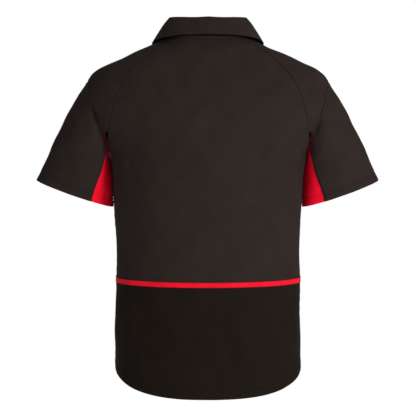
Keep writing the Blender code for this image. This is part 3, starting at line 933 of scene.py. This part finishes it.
def woven_tape():
    """Twill with slanted ribs, their crests lighter as a painted highlight and their dipped
    borders darker as painted shade.
    """
    finish = Finish("tape")
    across, up = finish.across_and_up()
    slanted = across + up * TWILL_SLANT
    rib = finish.math("SINE", slanted * (2 * math.pi / TWILL_PITCH)) * 0.5 + 0.5
    from_middle = finish.math("ABSOLUTE", up - TAPE_MIDDLE)
    border = finish.node("MapRange", {
        "Value": from_middle, "From Min": BORDER_START, "From Max": BORDER_FULL})
    wear = finish.noise(9, 3.0)
    # Painted highlight on the rib crests and painted shade at the dipped borders, over random
    # wear.
    share = rib * 0.45 + wear * 0.9 - 0.2 - border * 0.3
    finish.surface(
        Base_Color=finish.blended(finish.clamped(share), *TAPE_COLOURS),
        Roughness=finish.clamped(0.55 - rib * 0.12 + wear * 0.1),
        Normal=finish.bumped(rib - border * 0.8 + wear * 0.3, 0.32),
        Sheen_Weight=0.006,
        Specular_IOR_Level=CLOTH_SPECULAR,
    )
    return finish.material


def twisted_thread(name, dark, light):
    finish = Finish(name)
    strands = finish.noise(STRAND_SIZE, 1.0)
    finish.surface(
        Base_Color=finish.blended(strands, dark, light),
        Roughness=0.5,
        Normal=finish.bumped(strands, 0.08),
        Specular_IOR_Level=THREAD_SPECULAR,
    )
    return finish.material


MATERIALS = {name: knitted(name, look) for name, look in KNITS.items()}
MATERIALS["tape"] = woven_tape()
MATERIALS.update({name: twisted_thread(name, *colours) for name, colours in THREADS.items()})


# ======== the jersey ========

def add_cloth():
    """Every cut piece. Returns what the sewing needs: points, normals and edge gaps."""
    plain = {node: fine_points(node) for node in PIECES}
    normals = shared_directions(plain)
    coarse = {node: [grid[::2, ::2].reshape(-1, 3) for grid in (points, normals[node])]
              for node, points in plain.items()}
    lines = [fold_line(fold, coarse) for fold in FOLDS]
    sewn = {}
    for node, points in plain.items():
        piece = PIECES[node]
        gaps = edge_gaps(node, points)
        points = points + normals[node] * cloth_height(node, points, gaps, lines)[..., None]
        whole, thickness = seams_turned_in(piece, points, cloth_thickness(gaps, piece.cloth))
        cloth = add_piece(node + "_cloth", grid_mesh(node, whole), node)
        cloth.data.materials.append(MATERIALS[piece.finish])
        give_thickness(cloth, thickness)
        sewn[node] = (cloth, points, grid_normals(points), gaps)
    return sewn


def hem_lines(sewn, node):
    """Where the needles ran along a piece's hem."""
    _, points, normals, gaps = sewn[node]
    kind, gap = next((kind, gap) for kind, gap, _ in gaps if kind in HEMS)
    return [needle_line(points, normals, gap, needle) for needle in HEMS[kind].needles]


def sewing_on(node, lines, thread):
    piece = stitches(node + "_stitches", lines, thread)
    return [piece]


def add_sewing(sewn):
    """The stitches of cuffs, hems and tape, each as a piece on its cloth."""
    sewing = {node: sewing_on(node, hem_lines(sewn, node), thread)
              for node, thread in HEM_THREADS.items()}
    _, points, normals, _ = sewn["back_tape"]
    lines = [(points[row], normals[row]) for row in (1, -2)]
    sewing["back_tape"] = sewing_on("back_tape", lines, "red_thread")
    return sewing


# ======== studio ========

def aimed(place, aim):
    """The matrix of something at a place that looks at another."""
    place, aim = Vector(place) * MM, Vector(aim) * MM
    turn = (aim - place).to_track_quat("-Z", "Y")
    return Matrix.Translation(place) @ turn.to_matrix().to_4x4()


def add_camera():
    camera = added("camera", bpy.data.cameras.new("camera"))
    camera.data.sensor_width = SENSOR_WIDTH
    camera.data.lens = SENSOR_WIDTH * CAMERA_DISTANCE / PICTURE_WIDTH
    place = (CAMERA_SIDE_STEP, -CAMERA_DISTANCE, CAMERA_HEIGHT)
    camera.matrix_world = aimed(place, (0, 0, CAMERA_HEIGHT))
    bpy.context.scene.camera = camera


def add_lamps():
    for lamp in LAMPS:
        light = bpy.data.lights.new(lamp.name, "AREA")
        light.shape = "DISK"
        light.size = lamp.size * MM
        light.energy = lamp.power
        added(lamp.name, light).matrix_world = aimed((lamp.x, lamp.y, lamp.z), LAMP_AIM)


def add_floor():
    maker = bmesh.new()
    bmesh.ops.create_circle(maker, cap_ends=True, segments=FLOOR_SIDES, radius=FLOOR_RADIUS * MM,
                            matrix=Matrix.Translation((0, 0, FLOOR_HEIGHT * MM)))
    mesh = bpy.data.meshes.new("floor")
    maker.to_mesh(mesh)
    maker.free()
    finish = Finish("pale_floor")
    finish.surface(Base_Color=(0.9, 0.9, 0.9, 1), Roughness=0.9,
                   Emission_Color=(1, 1, 1, 1), Emission_Strength=FLOOR_GLOW)
    mesh.materials.append(finish.material)
    added("floor", mesh)


def add_sky():
    """White behind the jersey, and a softer light from all round."""
    world = bpy.data.worlds.new("studio")
    bpy.context.scene.world = world
    world.use_nodes = True
    tree = world.node_tree
    background = tree.nodes["Background"]
    background.inputs["Color"].default_value = (1, 1, 1, 1)
    path = tree.nodes.new("ShaderNodeLightPath")
    strength = tree.nodes.new("ShaderNodeMapRange")
    strength.inputs["To Min"].default_value = SKY_LIGHT
    strength.inputs["To Max"].default_value = SKY_SEEN
    tree.links.new(path.outputs["Is Camera Ray"], strength.inputs["Value"])
    tree.links.new(strength.outputs[0], background.inputs["Strength"])


add_camera()
add_lamps()
add_floor()
add_sky()
bpy.context.scene.view_settings.view_transform = "Standard"
sewn_pieces = add_cloth()
add_sewing(sewn_pieces)
